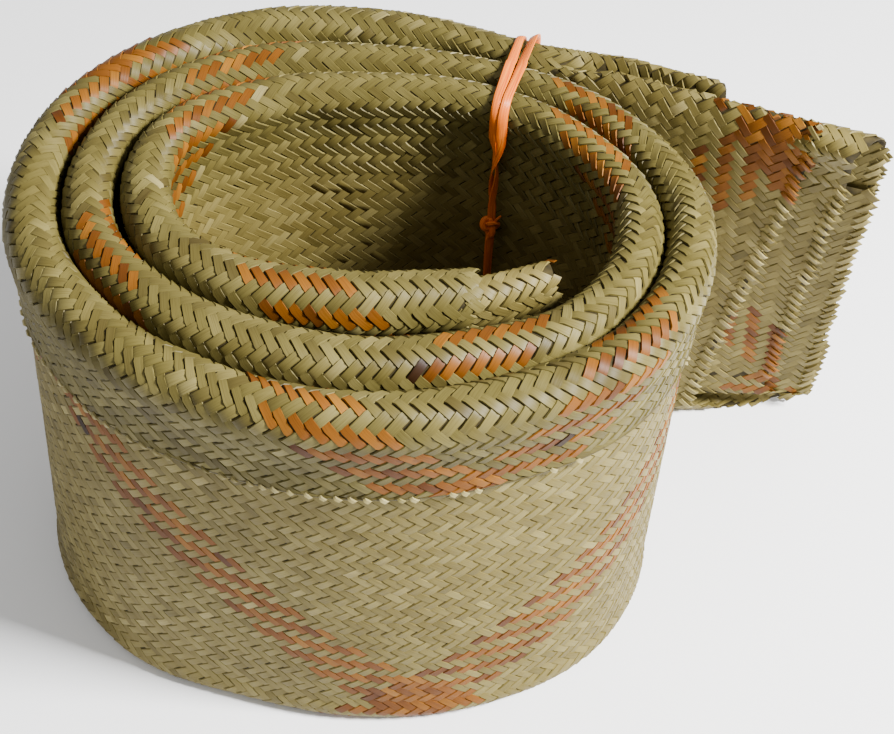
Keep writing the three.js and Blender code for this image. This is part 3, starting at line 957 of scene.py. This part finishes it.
# %% Raffia tape, stretched plastic
def raffia_tape():
    material, tree, shader = new_material("raffia_tape")
    uv = add(tree, "UVMap", uv_map="strip").outputs["UV"]
    # drawn ribs about 0.3 mm apart
    ribs = add(tree, "Mapping", {"Vector": uv, "Scale": (30, 3400, 1)})
    rib = add(tree, "TexNoise", {"Vector": ribs.outputs["Vector"], "Scale": 1.0,
                                 "Detail": 2.0}).outputs["Fac"]
    tint = ramp(tree, rib, [(0.3, "#a83e04"), (0.5, "#cc600a"), (0.75, "#e4882c")])
    bump = add(tree, "Bump", {"Height": rib, "Strength": 0.6, "Distance": 0.0003})
    tree.links.new(tint, shader.inputs["Base Color"])
    tree.links.new(bump.outputs["Normal"], shader.inputs["Normal"])
    shader.inputs["Roughness"].default_value = 0.34
    shader.inputs["IOR"].default_value = 1.49
    shader.inputs["Specular IOR Level"].default_value = 0.25
    shader.inputs["Subsurface Weight"].default_value = 0.06
    shader.inputs["Subsurface Radius"].default_value = (0.002, 0.0008, 0.0003)
    shader.inputs["Subsurface Scale"].default_value = 1.0
    return material


raffia = raffia_tape()

# %% The tie's route
TIE_CLEAR = 1.9
TIE_SKEW = 1.0
KNOT_UP = 160
# The loop's two ends lie this far in at the knot. Under the roll it bends at this height, and in.
KNOT_INSETS = (0.6, 0.9)
KNOT_DROP = 4
FOOT_BEND_UP = 12
FOOT_BEND_INSET = 2
UNDER_CLEAR = 0.5
near_rim = rim_point(TIE_TURNS[0])
tie_run = rim_point(TIE_TURNS[2]) - near_rim
tie_reach = float(np.linalg.norm(tie_run))
tie_run = tie_run / tie_reach
tie_side = np.array([tie_run[1], -tie_run[0]])


def tie_place(out, up, side):
    """A point of the tie's upright plane, in millimetres out, up and sideways, set in metres."""
    share = 1 - up / BAND_HEIGHT
    plan = (near_rim + out[:, None] * tie_run + side[:, None] * tie_side
            + np.array(FOOT_SHIFT) * share[:, None])
    return np.column_stack([plan, up]) * MM


def tie_route(clear, steps=240):
    """Out and up along the loop, from the knot over the rims, down outside, under and back."""
    inner, middle, outer = (float(along(np.array(turn), HALF)) for turn in TIE_TURNS)
    foot = FOOT_HALF + CLOTH / 2 + TIE_SKEW
    near_foot = float(along(np.array(TIE_TURNS[0]), OUT)) - foot
    far_foot = tie_reach + float(along(np.array(TIE_TURNS[2]), OUT)) + foot
    first = arc((-TIE_SKEW, BAND_HEIGHT - inner), inner + clear, 180, 80, 6)
    last = arc((tie_reach + TIE_SKEW, BAND_HEIGHT - outer), outer + clear, 95, 0, 6)
    under = clear * UNDER_CLEAR
    points = ([(-inner - TIE_SKEW - clear + KNOT_INSETS[0], KNOT_UP)] + first
              + [(tie_reach / 2, BAND_HEIGHT + clear)] + last
              + [(far_foot + clear, FOOT_BEND_UP), (far_foot - FOOT_BEND_INSET, under),
                 (tie_reach / 2, under), (near_foot + FOOT_BEND_INSET, under),
                 (near_foot - clear, FOOT_BEND_UP),
                 (-inner - TIE_SKEW - clear + KNOT_INSETS[1], KNOT_UP - KNOT_DROP)])
    points = np.array(points)
    knots = np.concatenate([[0], np.cumsum(np.linalg.norm(np.diff(points, axis=0), axis=1))])
    at = np.linspace(0, knots[-1], steps)
    return smooth(knots, points, at), at


# %% Strands, knot and loose ends
# Above one height the strands lie apart and at full width, and below another they twist together.
SPREAD_UP = 196
TWIST_UP = 212
TWIST_RUN = 40
TWIST_FULL = 5.0
FAR_SHARE = 0.6
FAR_TWIST = 0.4
APART_OVER = (1.9, 1.3)
APART_TWISTED = 0.8
NARROW_SHARE = 0.78
SMOOTHING = 13


def tie_strand(name, lead, width, clear):
    """One flat strand. lead is -1 or 1, the side on which it lies where the two spread."""
    route, at = tie_route(clear)
    out, up = route[:, 0], route[:, 1]
    over = np.clip(out / tie_reach, 0, 1) * (up > 150)
    spread = np.where(up > SPREAD_UP, APART_OVER[0] + APART_OVER[1] * over, APART_TWISTED)
    kernel = np.ones(SMOOTHING) / SMOOTHING
    spread = np.convolve(np.pad(spread, SMOOTHING // 2, mode="edge"), kernel, mode="valid")
    twist = np.where(up > TWIST_UP, 0.0, np.clip((TWIST_UP - up) / TWIST_RUN, 0, 1) * TWIST_FULL)
    twist = np.where(out > tie_reach * FAR_SHARE, FAR_TWIST, twist)
    side = lead * spread * np.cos(twist)
    centres = tie_place(out, up, side)
    normal = lead * spread * np.sin(twist)
    run = np.gradient(centres, axis=0)
    run /= np.linalg.norm(run, axis=1, keepdims=True)
    flat_side = np.tile(np.append(tie_side, 0), (len(out), 1))
    facing = np.cross(run, flat_side)
    facing /= np.linalg.norm(facing, axis=1, keepdims=True)
    if facing[len(out) // 4, 2] < 0:
        facing = -facing
    centres = centres + facing * (normal * 0.5 * MM)[:, None]
    lean = twist * 0.6 + 0.35 * np.sin(at / 17 + lead)
    across = flat_side * np.cos(lean)[:, None] + facing * np.sin(lean)[:, None]
    up_face = np.cross(run, across)
    wide = width * (1 + 0.12 * np.sin(at / 9 + 2 * lead)) * np.where(up > SPREAD_UP, 1.0, NARROW_SHARE)
    return ribbon(name, centres, across, up_face, wide * MM, 0.9 * MM, raffia, 10)


def tie_knot():
    """A small overhand knot: one strand laid in a trefoil, drawn tight."""
    t = np.linspace(0, 2 * math.pi, 90)
    inner = float(along(np.array(TIE_TURNS[0]), HALF))
    out = -inner - TIE_SKEW - TIE_CLEAR - 1.2 + 1.3 * np.sin(3 * t)
    side = 1.15 * (np.sin(t) + 2 * np.sin(2 * t))
    up = KNOT_UP + 1.7 * (np.cos(t) - 2 * np.cos(2 * t))
    centres = tie_place(out, up, side)
    run = np.gradient(centres, axis=0)
    run /= np.linalg.norm(run, axis=1, keepdims=True)
    level = np.tile(np.append(tie_run, 0), (len(t), 1))
    across = np.cross(run, level)
    across /= np.linalg.norm(across, axis=1, keepdims=True)
    return ribbon("tie_knot", centres, across, np.cross(run, across), 3.0 * MM, 2.0 * MM, raffia, 10)


def loose_end(name, side_run, up_run, width):
    """A short free end that stands out of the knot."""
    t = np.linspace(0, 1, 16)
    inner = float(along(np.array(TIE_TURNS[0]), HALF))
    out = -inner - TIE_SKEW - TIE_CLEAR - 1.0 - 1.5 * t
    centres = tie_place(out, KNOT_UP + up_run * t, 1.0 + side_run * t ** 1.4)
    run = np.gradient(centres, axis=0)
    run /= np.linalg.norm(run, axis=1, keepdims=True)
    level = np.tile(np.append(tie_run, 0), (len(t), 1))
    across = np.cross(run, level)
    across /= np.linalg.norm(across, axis=1, keepdims=True)
    wide = width * (1 - 0.5 * t) * MM
    return ribbon(name, centres, across, np.cross(run, across), wide, 0.7 * MM, raffia, 8)


tie_pieces = [
    tie_strand("tie_strand_left", -1, 4.2, TIE_CLEAR),
    tie_strand("tie_strand_right", 1, 4.4, TIE_CLEAR),
    tie_knot(),
    loose_end("tie_end_up", 4.0, 9.0, 2.0),
    loose_end("tie_end_down", -2.0, -8.0, 2.2),
]
print("tie pieces:", len(tie_pieces))

# %% [markdown]
# The mat stands on a plain pale floor in soft daylight. One light from the right and in front
# gives the strips their sheen and the roll its bright and dark sides, and an even sky fills the
# shadows.

# %% Floor, light and camera
FLOOR_HALF = 1.5
SKY_STRENGTH = 0.7
CAMERA_LENS = 66.44
CAMERA_PLACE = (0.0054, -0.4927, 0.6822)
CAMERA_TILT = 41


def make_floor():
    mesh = grid_mesh(2, 2)
    flat = get_points(mesh)
    set_points(mesh, np.column_stack([(flat[:, :2] - 0.5) * 2 * FLOOR_HALF, np.zeros(len(flat))]))
    material, _, shader = new_material("matt_floor")
    shader.inputs["Base Color"].default_value = colour("#f4f4f4")
    shader.inputs["Roughness"].default_value = 0.9
    return new_piece("floor", mesh, material)


def area_light(name, at, aim, size, power):
    light = bpy.data.lights.new(name, "AREA")
    light.size = size
    light.energy = power
    lamp = bpy.data.objects.new(name, light)
    bpy.context.scene.collection.objects.link(lamp)
    direction = np.array(aim) - np.array(at)
    level = math.hypot(direction[0], direction[1])
    lamp.location = at
    lamp.rotation_euler = (math.atan2(level, -direction[2]), 0,
                           math.atan2(direction[1], direction[0]) - math.pi / 2)
    return lamp


floor = make_floor()
area_light("key", at=(0.99, -0.35, 1.11), aim=(0.0, 0.0, 0.12), size=0.3, power=107.0)
world = bpy.data.worlds.new("daylight")
world.use_nodes = True
world.node_tree.nodes["Background"].inputs["Color"].default_value = colour("#ffffff")
world.node_tree.nodes["Background"].inputs["Strength"].default_value = SKY_STRENGTH
bpy.context.scene.world = world

camera_data = bpy.data.cameras.new("camera")
camera_data.lens = CAMERA_LENS
camera_data.clip_start = 0.01
camera = bpy.data.objects.new("camera", camera_data)
bpy.context.scene.collection.objects.link(camera)
camera.location = CAMERA_PLACE
camera.rotation_euler = (math.radians(CAMERA_TILT), 0, 0)
bpy.context.scene.camera = camera

# %% [markdown]
# Last, every piece of the cloth and of the tie is attached to the root body, and the solids of the
# mat and of the tie are hidden.

# %% Attach the pieces and hide the solids
cloth_pieces = [mat_sheet] + woven + hem_pieces + frayed_pieces
for piece in cloth_pieces + tie_pieces:
    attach(piece, "root")
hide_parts("mat")
for piece in tie_pieces[:2]:
    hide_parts("tie")
